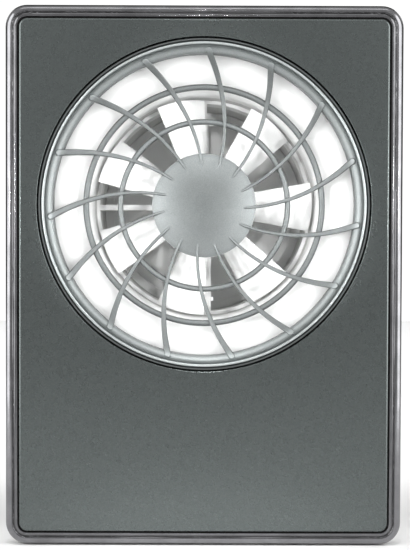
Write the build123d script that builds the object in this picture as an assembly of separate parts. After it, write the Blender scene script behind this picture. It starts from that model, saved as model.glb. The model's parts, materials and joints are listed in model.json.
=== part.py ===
from build123d import *
import math
import os

# Bathroom exhaust fan with a tall front cover. Millimetres, +Z up, the wall plane is Y = 0 and the
# room is on the -Y side. The origin is the point where the duct's axis meets the wall.

# Cover outline
cover_width = 206.0
cover_height = 280.0
cover_corner_r = 11.3
axis_below_top = 103.0
cover_front = -44.0

# Front plate
plate_inset = 7.4
plate_corner_r = 4.4
plate_thickness = 2.4
plate_edge_r = 1.2
plate_hole_r = 86.4
plate_hole_edge_r = 0.5

# Pins that hold plate, grille and frame together
stake_r = 1.5
stake_head_r = 2.6
stake_head_height = 1.0
stake_circle_r = 88.9
stake_circle_count = 8
stake_low_x = 70.0
stake_low_rises = (67.0, 43.0, 19.0)
stake_clearance = 0.2

# Bezel round the plate
rim_wall = 2.0
rim_skirt_back = -32.0
rim_roll_drop = 1.6
rim_roll_r = 3.4
rim_channel_drop = 2.1
rim_channel_end = 4.9
rim_bead_drop = 1.5
rim_bead_end = 6.6
rim_bead_lean = 0.2
rim_tongue_end = 10.4
rim_tongue_thickness = 1.4

# Carrier frame behind the plate
frame_inset = 2.2
frame_thickness = 2.0
frame_rebate_gap = 0.3
frame_hole_r = 81.2

# Push studs on the frame and their clips on the casing
stud_r = 2.5
stud_tip = -29.0
stud_tip_r = 0.8
stud_x = 90.5
stud_top_drop = 48.0
stud_low_rise = 37.0
clip_leaf = 0.6
clip_width = 6.0
clip_grip_gap = 0.05
clip_front = -36.2
clip_flare = 1.2
clip_flare_height = 2.0
clip_post_width = 8.0
clip_post_height = 9.0
clip_post_front = -27.0
clip_rivet_r = 1.2
clip_rivet_head_r = 1.9
clip_rivet_head_height = 0.5
clip_rivet_clearance = 0.1

# Grille, outer ring
flange_r = 91.0
flange_thickness = 1.6
flange_clearance = 0.4
groove_outer_r = 85.7
lip_outer_r = 85.5
lip_inner_r = 84.7
lip_drop = 0.5
bead_r = 83.25
bead_half_width = 0.65
bead_drop = 0.1
bead_foot_drop = 1.1
valley_half_width = 0.35
valley_drop = 1.5
cove_outer_r = 82.0
cove_outer_drop = 1.1
cove_inner_r = 78.5
cove_inner_drop = 4.5
cove_sag = 0.7
ring_skirt_r = 80.6
ring_skirt_back = -33.0

# Grille, ribs
rib_count = 15
rib_front_drop = 13.14
rib_depth = 4.0
rib_flat_r = 46.0
rib_end_r = 81.5
rib_end_drop = 1.5
rib_back_end_r = 80.0
rib_back_end = -40.2
rib_start_r = 18.0
rib_middle_r = 52.0
rib_start_angle = -3.9
rib_middle_angle = 6.6
rib_end_angle = 16.5
rib_start_width = 1.25
rib_middle_width = 2.2
rib_end_width = 3.5
rib_edge_r = 0.5
rib_tip_gap = 0.3

# Grille, inner rings and hub
ring_rs = (44.15, 62.1)
ring_widths = (2.8, 3.0)
ring_sink = 1.0
ring_round = 0.9
ring_thickness = 2.6
hub_r = 27.4
hub_crown_drop = 10.9
hub_edge_drop = 14.9
hub_flat_r = 4.6
hub_skirt = 1.9
hub_wall = 2.0
gate_mark_r = 0.8
gate_mark_width = 0.3
gate_mark_depth = 0.15

# Casing
casing_inset = 2.6
casing_front = -37.9
casing_wall = 2.0
casing_back = 2.4
wall_screw_pitch = 168.0
wall_screw_hole_r = 2.25
wall_screw_boss_r = 6.0
wall_screw_boss_height = 4.0
bay_half_width = 80.0
bay_top_gap = 10.0
bay_rise = 12.0
bay_wall = 1.8
bay_front = -29.0

# Duct side: funnel, spigot and their flanges
duct_bore_r = 59.95
duct_pin_r = 61.75
duct_pin_end = 82.0
duct_collar_r = 63.0
duct_collar_end = 14.0
duct_hole_clearance = 0.3
flow_flange_r = 70.5
spigot_flange_thickness = 2.0
funnel_flange_thickness = 1.6
funnel_wall = 1.6
funnel_mouth_radius = 18.0
funnel_mouth_front = -31.0
funnel_lip_r = 84.0
duct_screw_circle_r = 66.4
duct_screw_r = 1.5
duct_screw_head_r = 2.8
duct_screw_head_height = 1.8
duct_screw_tip = -0.4
screw_hole_clearance = 0.1
screw_slot_width = 0.7
screw_slot_depth = 0.7

# Lead race beside the spigot
race_half_width = 4.0
race_bottom_r = 67.2
race_end = 13.0
race_wall = 1.2
race_roof = 0.2
lead_r = 1.2
lead_clearance = 0.6
lead_depth = 9.8
lead_drop = 64.1
lead_start_drop = 24.0
lead_bay_depth = -17.0
lead_turn_r = 2.8
lead_exit_turn_r = 2.4
lead_bay_turn_r = 10.0

# Motor bracket
bracket_clearance = 0.15
bracket_ring_wall = 1.9
bracket_ring_front = 6.0
bracket_ring_back = 20.0
bracket_stop_height = 1.3
bracket_stop_length = 1.5
bracket_disc_r = 28.0
bracket_disc_front = 5.0
bracket_disc_thickness = 3.0
strut_width = 3.0
strut_back = 14.0
lead_strut_width = 8.0

# Bearings and shaft
shaft_r = 2.0
shaft_front = -18.0
shaft_back = 10.0
shaft_running_gap = 0.03
bearing_r = 4.5
bearing_width = 4.0
bearing_groove_depth = 0.4
bearing_seat_gap = 0.02
bearing_front_face = -14.5
bearing_back_face = 8.0
bearing_tube_wall = 1.1
bearing_shoulder_gap = 0.6
clip_groove_depth = 0.3
shaft_clip_r = 3.6
shaft_clip_thickness = 0.5
shaft_clip_gap = 0.15
shaft_clip_slot = 2.6

# Motor
stator_r = 19.2
stator_front = -13.0
stator_back = -3.0
stator_hub_r = 8.4
stator_seat_gap = 0.05
tooth_count = 8
tooth_width = 4.0
shoe_thickness = 2.2
shoe_slot = 2.4
coil_build = 1.5
coil_overhang = 1.6
coil_gap = 0.1
air_gap = 0.65
magnet_thickness = 3.0
magnet_front = -15.0
magnet_back = -1.0
rotor_gap = 0.05
rotor_wall = 1.0
rotor_front = -19.0
rotor_back = 1.0
rotor_boss_r = 4.4
rotor_boss_back = -15.2
shaft_seat_gap = 0.02
motor_board_r = 26.0
motor_board_bore = 6.4
motor_board_thickness = 1.6
driver_chip_size = 5.0
driver_chip_height = 1.2
driver_chip_drop = 13.0

# Impeller
impeller_fit_gap = 0.1
impeller_hub_wall = 2.0
impeller_hub_back = -1.0
impeller_nose_front = -22.6
impeller_nose_r = 3.0
blade_count = 7
blade_tip_gap = 1.65
blade_middle_depth = -10.5
blade_root_chord = 20.0
blade_tip_chord = 30.0
blade_root_angle = 52.0
blade_tip_angle = 24.0
blade_root_thickness = 2.2
blade_tip_thickness = 1.3
blade_edge_share = 0.4
blade_camber = 2.2
blade_overrun = 3.0

# Backdraught shutter
shutter_front = 66.0
shutter_seat_thickness = 3.0
shutter_seat_r = 55.0
shutter_wall = 1.4
shutter_back = 81.0
shutter_bar_half_width = 3.0
shutter_pin_depth = 72.0
shutter_pin_r = 1.5
shutter_pin_seat_gap = 0.05
shutter_pin_half = 56.2
shutter_ear_start = 53.5
shutter_ear_back = 75.0
flap_r = 56.8
flap_thickness = 1.2
flap_seat_gap = 0.3
flap_root_gap = 3.0
flap_notch = 6.0
flap_notch_start = 52.5
knuckle_r = 2.6
knuckle_running_gap = 0.06
knuckle_spans = ((30.0, 46.0), (-24.0, -12.0))
knuckle_web_end = 3.4
knuckle_web_thickness = 1.6
flap_rib_height = 1.1
flap_rib_width = 1.2
flap_rib_zs = (-27.0, 27.0)
flap_rib_start = 6.0
flap_rib_end = 45.0

# Flap spring
spring_r = 2.3
spring_wire_r = 0.25
spring_pitch = 1.0
spring_full_turns = 9
spring_leg_reach = 12.0
spring_leg_gap = 0.1
spring_samples = 600

# Control board
board_left = -34.0
board_right = 68.0
board_top_gap = 8.0
board_bottom_gap = 7.0
board_front = -14.0
board_thickness = 1.6
board_screw_inset = 4.0
board_screw_r = 1.25
board_screw_length = 7.0
board_screw_head_r = 2.4
board_screw_head_height = 1.5
board_post_r = 3.0
screw_tip_room = 1.0

# Parts on the board: a drop is taken from the board's top edge, a rise from its bottom edge
relay_size = (15.0, 19.0)
relay_height = 12.4
relay_x = -17.5
relay_rise = 14.0
film_cap_size = (18.0, 7.0)
film_cap_height = 11.0
film_cap_rise = 7.5
smoothing_cap_r = 5.0
smoothing_cap_height = 12.5
smoothing_cap_x = 29.0
smoothing_cap_rise = 8.0
smoothing_cap_crimp = 0.35
smoothing_cap_crimp_height = 2.4
inductor_r = 6.0
inductor_bore = 2.6
inductor_height = 6.5
inductor_x = 16.0
inductor_drop = 14.0
chip_size = (10.0, 6.4)
chip_height = 1.8
chip_x = 29.0
chip_drop = 8.0
chip_lead_count = 7
chip_lead_size = 0.5
chip_lead_reach = 1.2
chip_lead_height = 0.9
sensor_r = 2.3
sensor_height = 2.6
sensor_x = 60.0
sensor_rise = 8.0
motor_connector_size = (9.0, 6.0)
motor_connector_height = 6.4
motor_connector_drop = 3.0
mains_connector_size = (7.0, 12.0)
mains_connector_height = 6.4
mains_connector_gap = 1.0
connector_edge_r = 0.4
timer_x = 41.5
timer_drop = 16.0
humidity_x = 53.5
humidity_rise = 22.0
trimmer_size = 9.0
trimmer_height = 6.0
trimmer_bore = 2.6
trimmer_recess = 3.5
knob_stem_r = 2.5
knob_r = 3.4
knob_head_back = -21.4
knob_front = -29.8
knob_slot_width = 1.0
knob_slot_depth = 1.6
knob_access_r = 4.0

# Lid of the electronics bay
lid_thickness = 1.8
lid_edge_r = 0.8
lid_screw_inset = 4.6
lid_post_r = 3.2
lid_screw_r = 1.25
lid_screw_length = 8.0
lid_screw_head_r = 2.5
lid_screw_head_height = 1.4
lid_vent_count = 5
lid_vent_width = 1.6
lid_vent_length = 14.0
lid_vent_pitch = 4.0
lid_vent_x = 64.0

# Mains connection
terminal_wall_gap = 1.2
terminal_drop = 21.6
terminal_width = 16.0
terminal_height = 24.0
terminal_depth = 14.0
terminal_count = 3
terminal_well_r = 2.2
terminal_well_depth = 4.0
terminal_wire_r = 1.9
terminal_wire_depth = 8.0
terminal_edge_r = 0.6
terminal_screw_r = 1.9
terminal_screw_height = 2.0
supply_lead_r = 0.8
supply_lead_count = 2
supply_lead_pitch = 6.0
supply_lead_depth = -16.0
grommet_gap = 2.4
grommet_rise = 14.0
grommet_hole_r = 7.6
grommet_bore_r = 4.5
grommet_fit_gap = 0.1
grommet_flange_r = 9.6
grommet_flange_height = 1.8
grommet_edge_r = 0.5
clamp_rise = 15.0
clamp_post_spacing = 16.0
clamp_post_r = 3.4
clamp_post_front = -11.4
clamp_width = 8.0
clamp_length = 23.0
clamp_thickness = 2.4
clamp_bow = 1.2
clamp_screw_r = 1.4
clamp_screw_length = 9.0
clamp_screw_head_r = 2.7
clamp_screw_head_height = 1.7

# Places worked out from the sizes above
cover_mid_z = axis_below_top - cover_height / 2
plate_back = cover_front + plate_thickness
tongue_back = plate_back + rim_tongue_thickness
frame_back = tongue_back + frame_thickness
flange_back = plate_back + flange_thickness
casing_floor = -casing_back
spigot_flange_front = casing_floor - spigot_flange_thickness
funnel_flange_front = spigot_flange_front - funnel_flange_thickness
funnel_throat_front = funnel_mouth_front + funnel_mouth_radius
cover_bottom = axis_below_top - cover_height
bay_top = -(funnel_lip_r + bay_top_gap)
bay_bottom = cover_bottom + bay_rise
board_top = bay_top - board_top_gap
board_bottom = bay_bottom + board_bottom_gap
lid_front = bay_front - lid_thickness
board_back = board_front + board_thickness
magnet_inner_r = stator_r + air_gap
magnet_r = magnet_inner_r + magnet_thickness
rotor_r = magnet_r + rotor_gap + rotor_wall
impeller_bore_r = rotor_r + impeller_fit_gap
impeller_hub_r = impeller_bore_r + impeller_hub_wall
blade_tip_r = duct_bore_r - blade_tip_gap
bracket_r = duct_bore_r - bracket_clearance
bearing_tube_r = bearing_r + bearing_seat_gap + bearing_tube_wall
shutter_r = duct_bore_r - bracket_clearance
shutter_wall_r = shutter_r - shutter_wall
shutter_seat_back = shutter_front + shutter_seat_thickness
flap_front = shutter_seat_back + flap_seat_gap
flap_back = flap_front + flap_thickness
race_top = -(duct_pin_r + race_roof)
motor_connector_top = board_top - motor_connector_drop
timer_place = (timer_x, board_top - timer_drop)
humidity_place = (humidity_x, board_bottom + humidity_rise)
sensor_place = (sensor_x, board_bottom + sensor_rise)
terminal_left = -bay_half_width + bay_wall + terminal_wall_gap
terminal_right = terminal_left + terminal_width
terminal_z = bay_top - terminal_drop
grommet_x = terminal_right + grommet_gap + grommet_flange_r
grommet_z = bay_bottom + grommet_rise
clamp_z = grommet_z + clamp_rise
mains_connector_x = board_left + mains_connector_gap + mains_connector_size[0] / 2


def facing(depth):
    """Plane parallel to the wall; its x is X and its y is Z."""
    return Plane.XZ.offset(-depth)


def slab(outline, front, back):
    """Solid with the given outline between two depths."""
    return extrude(facing(back) * outline, amount=back - front)


def block(x_low, x_high, z_low, z_high, front, back):
    """Box between stated faces."""
    middle = Pos((x_low + x_high) / 2, (z_low + z_high) / 2)
    return slab(middle * Rectangle(x_high - x_low, z_high - z_low), front, back)


def disc(radius, front, back, x=0.0, z=0.0):
    """Round solid along Y."""
    return slab(Pos(x, z) * Circle(radius), front, back)


def turned(*edges):
    """Solid of revolution about the duct axis; the outline is drawn as radius, depth."""
    return revolve(make_face(edges), axis=Axis.Y)


def turned_points(*points):
    """Solid of revolution about the duct axis from a straight-sided outline."""
    return turned(Polyline(*points, close=True))


def polar(radius, angle):
    """Point on a circle round the duct axis, angle in degrees from +X towards +Z."""
    turn = math.radians(angle)
    return (radius * math.cos(turn), radius * math.sin(turn))


def around(shape, count, start=0.0):
    """Copies of a shape, evenly turned about the duct axis."""
    return [Rot(0, -(start + 360.0 * k / count), 0) * shape for k in range(count)]


def cover_outline(inset, corner_r=None):
    """Rounded rectangle inside the cover's outline."""
    radius = cover_corner_r - inset if corner_r is None else corner_r
    width = cover_width - 2 * inset
    height = cover_height - 2 * inset
    return Pos(0, cover_mid_z) * RectangleRounded(width, height, radius)


def stake_places():
    """Where the plate's pins go: a circle round the grille and two columns below it."""
    step = 360.0 / stake_circle_count
    circle = [polar(stake_circle_r, step * (k + 0.5)) for k in range(stake_circle_count)]
    lows = [cover_bottom + rise for rise in stake_low_rises]
    return circle + [(side * stake_low_x, z) for side in (-1, 1) for z in lows]


def stud_places():
    zs = (axis_below_top - stud_top_drop, cover_bottom + stud_low_rise)
    return [(side * stud_x, z) for side in (-1, 1) for z in zs]


def screw(x, z, head_front, head_height, head_r, shank_r, tip):
    """Slotted pan-head screw along Y."""
    head = disc(head_r, head_front, head_front + head_height, x, z)
    head = fillet(head.faces().sort_by(Axis.Y)[0].edges(), head_height / 3)
    shank = disc(shank_r, head_front + head_height, tip, x, z)
    slot = block(
        x - head_r, x + head_r, z - screw_slot_width / 2, z + screw_slot_width / 2,
        head_front, head_front + screw_slot_depth,
    )
    return head + shank - slot


def front_plate():
    plate = slab(cover_outline(plate_inset, plate_corner_r), cover_front, plate_back)
    plate = fillet(plate.faces().sort_by(Axis.Y)[0].edges(), plate_edge_r)
    plate -= disc(plate_hole_r, cover_front, plate_back)
    hole_edge = plate.faces().sort_by(Axis.Y)[0].edges().filter_by(GeomType.CIRCLE)
    hole_edge = hole_edge.filter_by(lambda edge: edge.radius > plate_corner_r)
    plate = fillet(hole_edge, plate_hole_edge_r)
    for x, z in stake_places():
        plate += disc(stake_r, plate_back, frame_back, x, z)
        plate += disc(stake_head_r, frame_back, frame_back + stake_head_height, x, z)
    return plate


def cover_rim():
    """Bezel section, drawn as distance in from the outer edge and depth, swept round the cover."""
    roll = cover_front + rim_roll_drop
    channel = cover_front + rim_channel_drop
    bead = cover_front + rim_bead_drop
    channel_middle = (rim_roll_r + rim_channel_end) / 2
    bead_middle = (rim_channel_end + rim_bead_end) / 2
    bead_side = bead + (channel - bead) / 2
    side_top = roll + rim_roll_r
    roll_cut = rim_roll_r * math.cos(math.pi / 4)
    section = make_face([
        Line((0, rim_skirt_back), (0, side_top)),
        ThreePointArc(
            (0, side_top),
            (rim_roll_r - roll_cut, side_top - roll_cut),
            (rim_roll_r, roll),
        ),
        Spline(
            [(rim_roll_r, roll), (channel_middle, channel), (bead_middle, bead)],
            tangents=[(1, 0), (1, 0)],
        ),
        Spline([(bead_middle, bead), (rim_bead_end, bead_side)], tangents=[(1, 0), (rim_bead_lean, 1)]),
        Polyline(
            (rim_bead_end, bead_side), (rim_bead_end, plate_back), (rim_tongue_end, plate_back),
            (rim_tongue_end, tongue_back), (rim_wall, tongue_back), (rim_wall, rim_skirt_back),
            (0, rim_skirt_back),
        ),
    ])
    half_width = cover_width / 2 - cover_corner_r
    half_height = cover_height / 2 - cover_corner_r
    rim = None
    for turn in range(4):
        wide = turn % 2 == 0
        side = half_width if wide else half_height
        reach = cover_width / 2 if wide else cover_height / 2
        run = half_height if wide else half_width
        place = Pos(0, 0, cover_mid_z) * Rot(0, -90 * turn, 0)
        across = Plane(origin=(reach, 0, run), x_dir=(-1, 0, 0), z_dir=(0, 0, -1))
        straight = extrude(across * section, amount=2 * run)
        corner = revolve(across * section, axis=Axis((side, 0, run), (0, -1, 0)), revolution_arc=90)
        piece = place * (straight + corner)
        rim = piece if rim is None else rim + piece
    return rim


def cover_frame():
    rebate_inset = rim_tongue_end + frame_rebate_gap
    frame = slab(cover_outline(frame_inset), tongue_back, frame_back)
    frame += slab(cover_outline(rebate_inset, plate_corner_r), plate_back, tongue_back)
    frame -= disc(frame_hole_r, plate_back, frame_back)
    frame -= disc(flange_r + flange_clearance, plate_back, flange_back)
    for x, z in stake_places():
        frame -= disc(stake_r + stake_clearance, plate_back, frame_back, x, z)
    for x, z in stud_places():
        stud = disc(stud_r, frame_back, stud_tip, x, z)
        frame += chamfer(stud.faces().sort_by(Axis.Y)[-1].edges(), stud_tip_r)
    return frame


def dish_arc(offset, end_r):
    """Front of the ribs, or a copy of it further back: flat in the middle, rising at the rim."""
    flat = cover_front + rib_front_drop
    rise = rib_front_drop - rib_end_drop
    span = rib_end_r - rib_flat_r
    radius = (span ** 2 + rise ** 2) / (2 * rise)
    reach = end_r - rib_flat_r
    end = flat - (radius - math.sqrt(radius ** 2 - reach ** 2))
    start = (rib_flat_r, flat + offset)
    return TangentArc(start, (end_r, end + offset), tangent=(1, 0)), end + offset


def dish_depth(radius):
    """Depth of the ribs' front face at a radius."""
    if radius <= rib_flat_r:
        return cover_front + rib_front_drop
    return dish_arc(0.0, radius)[1]


def grille_ring():
    """Flange, lip, bead and cove of the grille's outer ring."""
    bead_top = cover_front + bead_drop
    bead_foot = cover_front + bead_foot_drop
    valley = cover_front + valley_drop
    lip_top = cover_front + lip_drop
    cove_top = cover_front + cove_outer_drop
    cove_end = cover_front + cove_inner_drop
    bead_in = bead_r - bead_half_width
    bead_out = bead_r + bead_half_width
    cove_middle = (
        (cove_outer_r + cove_inner_r) / 2 + cove_sag * math.cos(math.pi / 4),
        (cove_top + cove_end) / 2 + cove_sag * math.sin(math.pi / 4),
    )
    return turned(
        Polyline(
            (cove_inner_r, cove_end), (cove_inner_r, ring_skirt_back), (ring_skirt_r, ring_skirt_back),
            (ring_skirt_r, flange_back), (flange_r, flange_back), (flange_r, plate_back),
            (groove_outer_r, plate_back), (lip_outer_r, lip_top), (lip_inner_r, lip_top),
            (bead_out + valley_half_width, valley), (bead_out, bead_foot),
        ),
        ThreePointArc((bead_out, bead_foot), (bead_r, bead_top), (bead_in, bead_foot)),
        Polyline((bead_in, bead_foot), (bead_in - valley_half_width, valley), (cove_outer_r, cove_top)),
        ThreePointArc((cove_outer_r, cove_top), cove_middle, (cove_inner_r, cove_end)),
    )


def grille_rib():
    """One curved rib: its plan outline cut out of the dished shell, with rounded front edges."""
    stations = (
        (rib_start_r, rib_start_angle, rib_start_width),
        (rib_middle_r, rib_middle_angle, rib_middle_width),
        (rib_end_r - rib_end_width / 2, rib_end_angle, rib_end_width),
    )
    sides = []
    for side in (-1, 1):
        sides.append([
            polar(radius, angle + side * math.degrees(width / 2 / radius))
            for radius, angle, width in stations
        ])
    right, left = sides
    tip = polar(rib_end_r - rib_tip_gap, rib_end_angle + math.degrees(rib_end_width / 4 / rib_end_r))
    plan = make_face([
        ThreePointArc(*right),
        ThreePointArc(right[-1], tip, left[-1]),
        ThreePointArc(*reversed(left)),
        Line(left[0], right[0]),
    ])
    front, front_end = dish_arc(0.0, rib_end_r)
    back, back_end = dish_arc(rib_depth, rib_back_end_r)
    flat = cover_front + rib_front_drop
    shell = turned(
        Polyline(
            (rib_end_r, front_end), (rib_end_r, rib_back_end), (rib_back_end_r, rib_back_end),
            (rib_back_end_r, back_end),
        ),
        back,
        Polyline((rib_flat_r, flat + rib_depth), (0, flat + rib_depth), (0, flat), (rib_flat_r, flat)),
        front,
    )
    return slab(plan, cover_front, flat + rib_depth) & shell


def rounded_rib():
    """Rib with its front edges rounded, all but the short ones at the hub and across the rib."""
    rib = grille_rib()
    front_faces = rib.faces().filter_by(lambda face: face.normal_at().Y < -0.5)
    edges = [edge for face in front_faces for edge in face.edges() if edge.length > rib_middle_width]
    return fillet(edges, rib_edge_r)


def inner_ring(radius, width):
    """Ring under the ribs, with a rounded front."""
    front = dish_depth(radius) + ring_sink
    back = front + ring_thickness
    shoulder = front + ring_round
    inner = radius - width / 2
    outer = radius + width / 2
    return turned(
        Polyline((inner, shoulder), (inner, back), (outer, back), (outer, shoulder)),
        ThreePointArc((outer, shoulder), (radius, front), (inner, shoulder)),
    )


def grille_hub():
    """Domed hub with a small flat and a gate mark in its middle, hollow behind."""
    crown = cover_front + hub_crown_drop
    edge = cover_front + hub_edge_drop
    sag = edge - crown
    dome_r = (hub_r ** 2 + sag ** 2) / (2 * sag)
    flat = crown + dome_r - math.sqrt(dome_r ** 2 - hub_flat_r ** 2)
    middle_r = (hub_r + hub_flat_r) / 2
    middle = crown + dome_r - math.sqrt(dome_r ** 2 - middle_r ** 2)
    skirt_back = edge + hub_skirt
    bore_r = hub_r - hub_wall
    hub = turned(
        Line((0, flat), (hub_flat_r, flat)),
        ThreePointArc((hub_flat_r, flat), (middle_r, middle), (hub_r, edge)),
        Polyline((hub_r, edge), (hub_r, skirt_back), (bore_r, skirt_back), (bore_r, edge + hub_wall / 4)),
        ThreePointArc(
            (bore_r, edge + hub_wall / 4),
            (bore_r / 2, (3 * (crown + hub_wall) + edge + hub_wall / 4) / 4),
            (0, crown + hub_wall),
        ),
        Line((0, crown + hub_wall), (0, flat)),
    )
    mark = disc(gate_mark_r, flat, flat + gate_mark_depth)
    mark -= disc(gate_mark_r - gate_mark_width, flat, flat + gate_mark_depth)
    return hub - mark


def grille():
    body = grille_ring() + grille_hub()
    for radius, width in zip(ring_rs, ring_widths):
        body += inner_ring(radius, width)
    body += around(rounded_rib(), rib_count)
    for x, z in stake_places()[:stake_circle_count]:
        body -= disc(stake_r + stake_clearance, plate_back, flange_back, x, z)
    return body


def wall_screw_places():
    half = wall_screw_pitch / 2
    return [(x, z) for x in (-half, half) for z in (-half, half)]


def duct_screw_places():
    return [polar(duct_screw_circle_r, 45 + 90 * k) for k in range(4)]


def board_screw_places():
    xs = (board_left + board_screw_inset, board_right - board_screw_inset)
    zs = (board_bottom + board_screw_inset, board_top - board_screw_inset)
    return [(x, z) for x in xs for z in zs]


def lid_screw_places():
    x = bay_half_width - lid_screw_inset
    zs = (bay_bottom + lid_screw_inset, bay_top - lid_screw_inset)
    return [(side * x, z) for side in (-1, 1) for z in zs]


def clamp_screw_places():
    half = clamp_post_spacing / 2
    return [(grommet_x + side * half, clamp_z) for side in (-1, 1)]


def race_slot(front, back):
    """Passage for the motor lead beside the duct."""
    half = lead_r + lead_clearance
    low = -race_bottom_r + race_wall
    return block(-half, half, low, race_top, front, back)


def casing():
    inner = casing_inset + casing_wall
    body = slab(cover_outline(casing_inset), casing_front, 0)
    body -= slab(cover_outline(inner), casing_front, casing_floor)
    bay = block(-bay_half_width, bay_half_width, bay_bottom, bay_top, bay_front, casing_floor)
    bay -= block(
        -bay_half_width + bay_wall, bay_half_width - bay_wall, bay_bottom + bay_wall, bay_top - bay_wall,
        bay_front, casing_floor,
    )
    body += bay
    for x, z in wall_screw_places():
        body += disc(wall_screw_boss_r, casing_floor - wall_screw_boss_height, casing_floor, x, z)
    for x, z in board_screw_places():
        body += disc(board_post_r, board_back, casing_floor, x, z)
    for x, z in lid_screw_places():
        body += disc(lid_post_r, bay_front, casing_floor, x, z)
    for x, z in clamp_screw_places():
        body += disc(clamp_post_r, clamp_post_front, casing_floor, x, z)
    for x, z in stud_places():
        half_w = clip_post_width / 2
        half_h = clip_post_height / 2
        body += block(x - half_w, x + half_w, z - half_h, z + half_h, clip_post_front, casing_floor)
        leaf_front = clip_post_front - clip_leaf
        body += disc(clip_rivet_r, leaf_front, clip_post_front, x, z)
        body += disc(clip_rivet_head_r, leaf_front - clip_rivet_head_height, leaf_front, x, z)
    return casing_holes(body)


def casing_holes(body):
    """Duct hole, lead passages, screw holes and the cable's hole."""
    duct_hole_r = duct_collar_r + duct_hole_clearance
    half = race_half_width + duct_hole_clearance
    body -= disc(duct_hole_r, casing_floor, 0)
    body -= block(-half, half, -race_bottom_r - duct_hole_clearance, -duct_bore_r, casing_floor, 0)
    for x, z in wall_screw_places():
        body -= disc(wall_screw_hole_r, casing_floor - wall_screw_boss_height, 0, x, z)
    for x, z in duct_screw_places():
        body -= disc(duct_screw_r + screw_hole_clearance, casing_floor, 0, x, z)
    board_tip = board_front + board_screw_length
    for x, z in board_screw_places():
        body -= disc(board_screw_r + screw_hole_clearance, board_back, board_tip + screw_tip_room, x, z)
    lid_tip = lid_front + lid_screw_length
    for x, z in lid_screw_places():
        body -= disc(lid_screw_r + screw_hole_clearance, bay_front, lid_tip + screw_tip_room, x, z)
    clamp_tip = clamp_post_front - clamp_thickness + clamp_screw_length
    for x, z in clamp_screw_places():
        body -= disc(clamp_screw_r + screw_hole_clearance, clamp_post_front, clamp_tip + screw_tip_room, x, z)
    body -= disc(grommet_hole_r, casing_floor, 0, grommet_x, grommet_z)
    lead_hole = Cylinder(lead_r + lead_clearance, 2 * bay_wall)
    body -= Pos(0, lead_bay_depth, bay_top - bay_wall / 2) * lead_hole
    return body


def cover_clips():
    """Spring-steel clips, each a U of thin strip riveted on its post."""
    grip = stud_r + clip_grip_gap
    outer = grip + clip_leaf
    base_front = clip_post_front - clip_leaf
    flare_start = clip_front + clip_flare_height
    side = [
        (outer, clip_post_front), (outer, flare_start), (outer + clip_flare, clip_front),
        (outer + clip_flare - clip_leaf, clip_front), (grip, flare_start), (grip, base_front),
    ]
    outline = side + [(-across, depth) for across, depth in reversed(side)]
    section = Plane.YZ.offset(-clip_width / 2) * make_face(
        Polyline(*[(depth, across) for across, depth in outline], close=True)
    )
    strip = extrude(section, amount=clip_width)
    strip -= disc(clip_rivet_r + clip_rivet_clearance, base_front, clip_post_front)
    return Compound([Pos(x, 0, z) * strip.solid() for x, z in stud_places()])


def inlet_funnel():
    """Flared mouth; the air side is a quarter circle that runs into the duct bore."""
    centre_r = duct_bore_r + funnel_mouth_radius
    outer_radius = funnel_mouth_radius - funnel_wall
    cos45 = math.cos(math.pi / 4)
    throat = duct_bore_r + funnel_wall
    funnel = turned(
        Polyline(
            (centre_r, funnel_mouth_front), (funnel_lip_r, funnel_mouth_front),
            (funnel_lip_r, funnel_mouth_front + funnel_wall), (centre_r, funnel_mouth_front + funnel_wall),
        ),
        ThreePointArc(
            (centre_r, funnel_mouth_front + funnel_wall),
            (centre_r - outer_radius * cos45, funnel_throat_front - outer_radius * cos45),
            (throat, funnel_throat_front),
        ),
        Polyline(
            (throat, funnel_throat_front), (throat, funnel_flange_front),
            (flow_flange_r, funnel_flange_front), (flow_flange_r, spigot_flange_front),
            (duct_bore_r, spigot_flange_front),
            (duct_bore_r, funnel_throat_front),
        ),
        ThreePointArc(
            (duct_bore_r, funnel_throat_front),
            (centre_r - funnel_mouth_radius * cos45, funnel_throat_front - funnel_mouth_radius * cos45),
            (centre_r, funnel_mouth_front),
        ),
    )
    funnel -= race_slot(funnel_flange_front, spigot_flange_front)
    for x, z in duct_screw_places():
        funnel -= disc(duct_screw_r + screw_hole_clearance, funnel_flange_front, spigot_flange_front, x, z)
    return funnel


def duct_spigot():
    stop_r = duct_bore_r - bracket_stop_height
    stop_end = bracket_ring_back + bracket_stop_length
    spigot = turned_points(
        (flow_flange_r, spigot_flange_front), (flow_flange_r, casing_floor), (duct_collar_r, casing_floor),
        (duct_collar_r, duct_collar_end), (duct_pin_r, duct_collar_end), (duct_pin_r, duct_pin_end),
        (duct_bore_r, duct_pin_end),
        (duct_bore_r, stop_end), (stop_r, stop_end), (stop_r, bracket_ring_back),
        (duct_bore_r, bracket_ring_back), (duct_bore_r, spigot_flange_front),
    )
    race_mid_r = (duct_bore_r + duct_pin_r) / 2
    spigot += block(
        -race_half_width, race_half_width, -race_bottom_r, -race_mid_r, casing_floor, race_end
    )
    spigot -= race_slot(spigot_flange_front, race_end - race_wall)
    lead_hole = Cylinder(lead_r + lead_clearance, 2 * race_wall + duct_pin_r - duct_bore_r)
    spigot -= Pos(0, lead_depth, -race_mid_r) * lead_hole
    for x, z in duct_screw_places():
        spigot -= disc(duct_screw_r + screw_hole_clearance, spigot_flange_front, casing_floor, x, z)
    return spigot


def duct_screws():
    head_front = funnel_flange_front - duct_screw_head_height
    return Compound([
        screw(
            x, z, head_front, duct_screw_head_height, duct_screw_head_r, duct_screw_r, duct_screw_tip
        ).solid()
        for x, z in duct_screw_places()
    ])


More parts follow.
